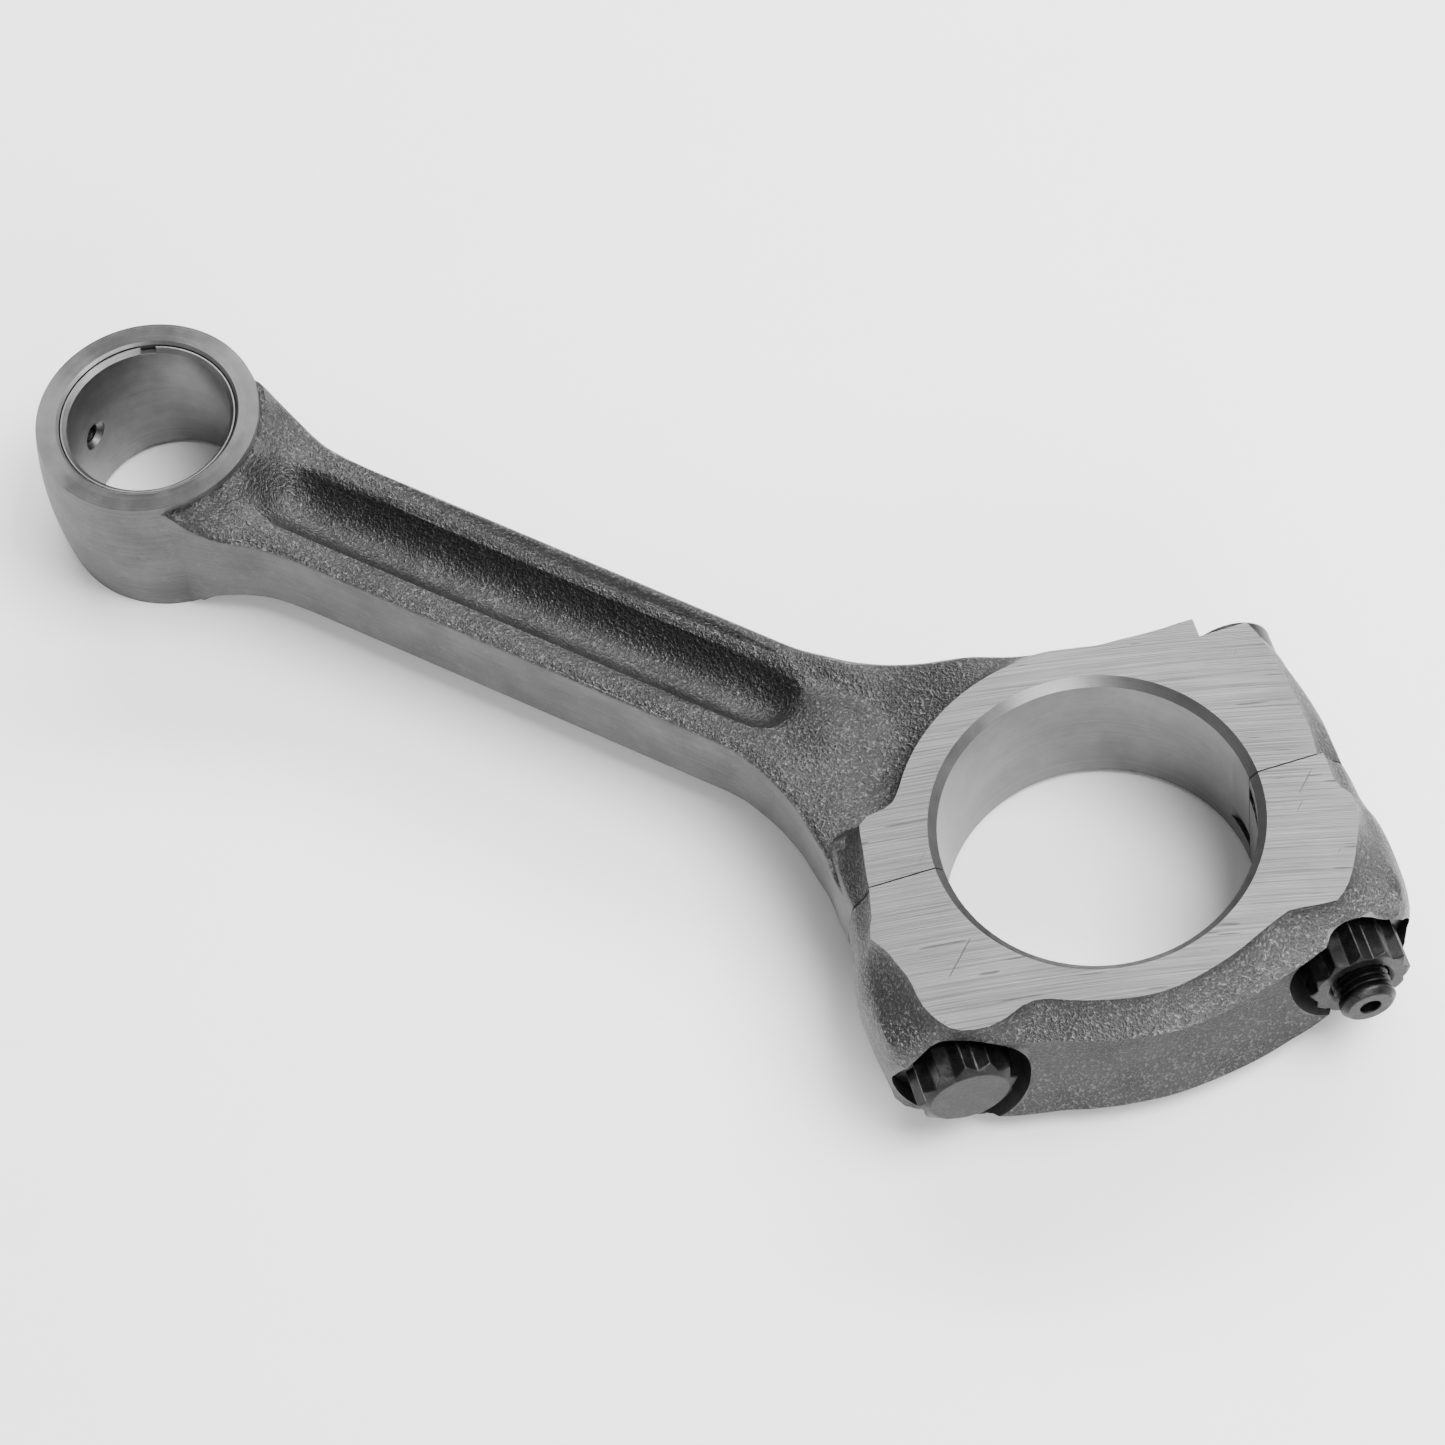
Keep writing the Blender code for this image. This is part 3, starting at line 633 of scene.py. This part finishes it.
screw = fastener("cap_screw", "flange_screw", "screw", -1)
turn_down(screw, *screw_turned)
paint(screw, black_oxide)
paint(screw, rubbed_end, on_screw_end)
set_in_place(screw, -1)
thread("screw_thread", "screw", "black_screw", -1, *screw_coil)

nut = fastener("bolt_nut", "flange_nut", "nut", 1)
paint(nut, black_oxide)
set_in_place(nut, 1)

bolt = fastener("through_bolt", "stud_bolt", "rod", 1)
turn_down(bolt, *bolt_turned)
paint(bolt, black_oxide)
set_in_place(bolt, 1)
thread("bolt_thread", "rod", "black_bolt", 1, *bolt_coil)

# ============================================================ studio
# A pale matt floor that runs out of sight, three wide soft lights under an even sky, and
# the camera above the cap's side of the rod.

bpy.ops.mesh.primitive_plane_add(size=12, location=(0, 0, 0))
floor = bpy.context.active_object
floor.name = "floor"
paper = Finish("floor_paper")
grain = paper.noise(paper.point(*paper.place()), scale=40, detail=3)
paper.done(
    paper.blend(grain, grey(0.91), grey(0.94)),
    roughness=0.85,
    normal=paper.bump(grain, distance=0.0002, strength=0.1),
    metallic=0.0,
)
floor.data.materials.append(paper.material)


def soft_light(name, place, size, power):
    """A rectangular panel light that looks at the middle of the rod."""
    bpy.ops.object.light_add(type="AREA", location=place)
    light = bpy.context.active_object
    light.name = name
    light.data.shape = "RECTANGLE"
    light.data.size, light.data.size_y = size
    light.data.energy = power
    light.rotation_euler = (-Vector(place)).to_track_quat("-Z", "Y").to_euler()


soft_light("overhead_panel", place=(0.75, 0.30, 1.40), size=(1.0, 1.0), power=62)
soft_light("rear_panel", place=(-0.38, 1.10, 0.95), size=(2.0, 0.4), power=46)
soft_light("front_panel", place=(1.0, -0.75, 0.66), size=(0.9, 0.4), power=14)

room = bpy.data.worlds.new("room")
room.use_nodes = True
sky = room.node_tree.nodes["Background"]
sky.inputs["Color"].default_value = grey(1)
sky.inputs["Strength"].default_value = 0.5
bpy.context.scene.world = room

bpy.ops.object.camera_add(location=(0.3502, -0.4464, 0.9369))
camera = bpy.context.active_object
camera.rotation_euler = (math.radians(30.96), math.radians(5.30), math.radians(28.95))
camera.data.lens = 127.3
camera.data.sensor_width = 36
bpy.context.scene.camera = camera
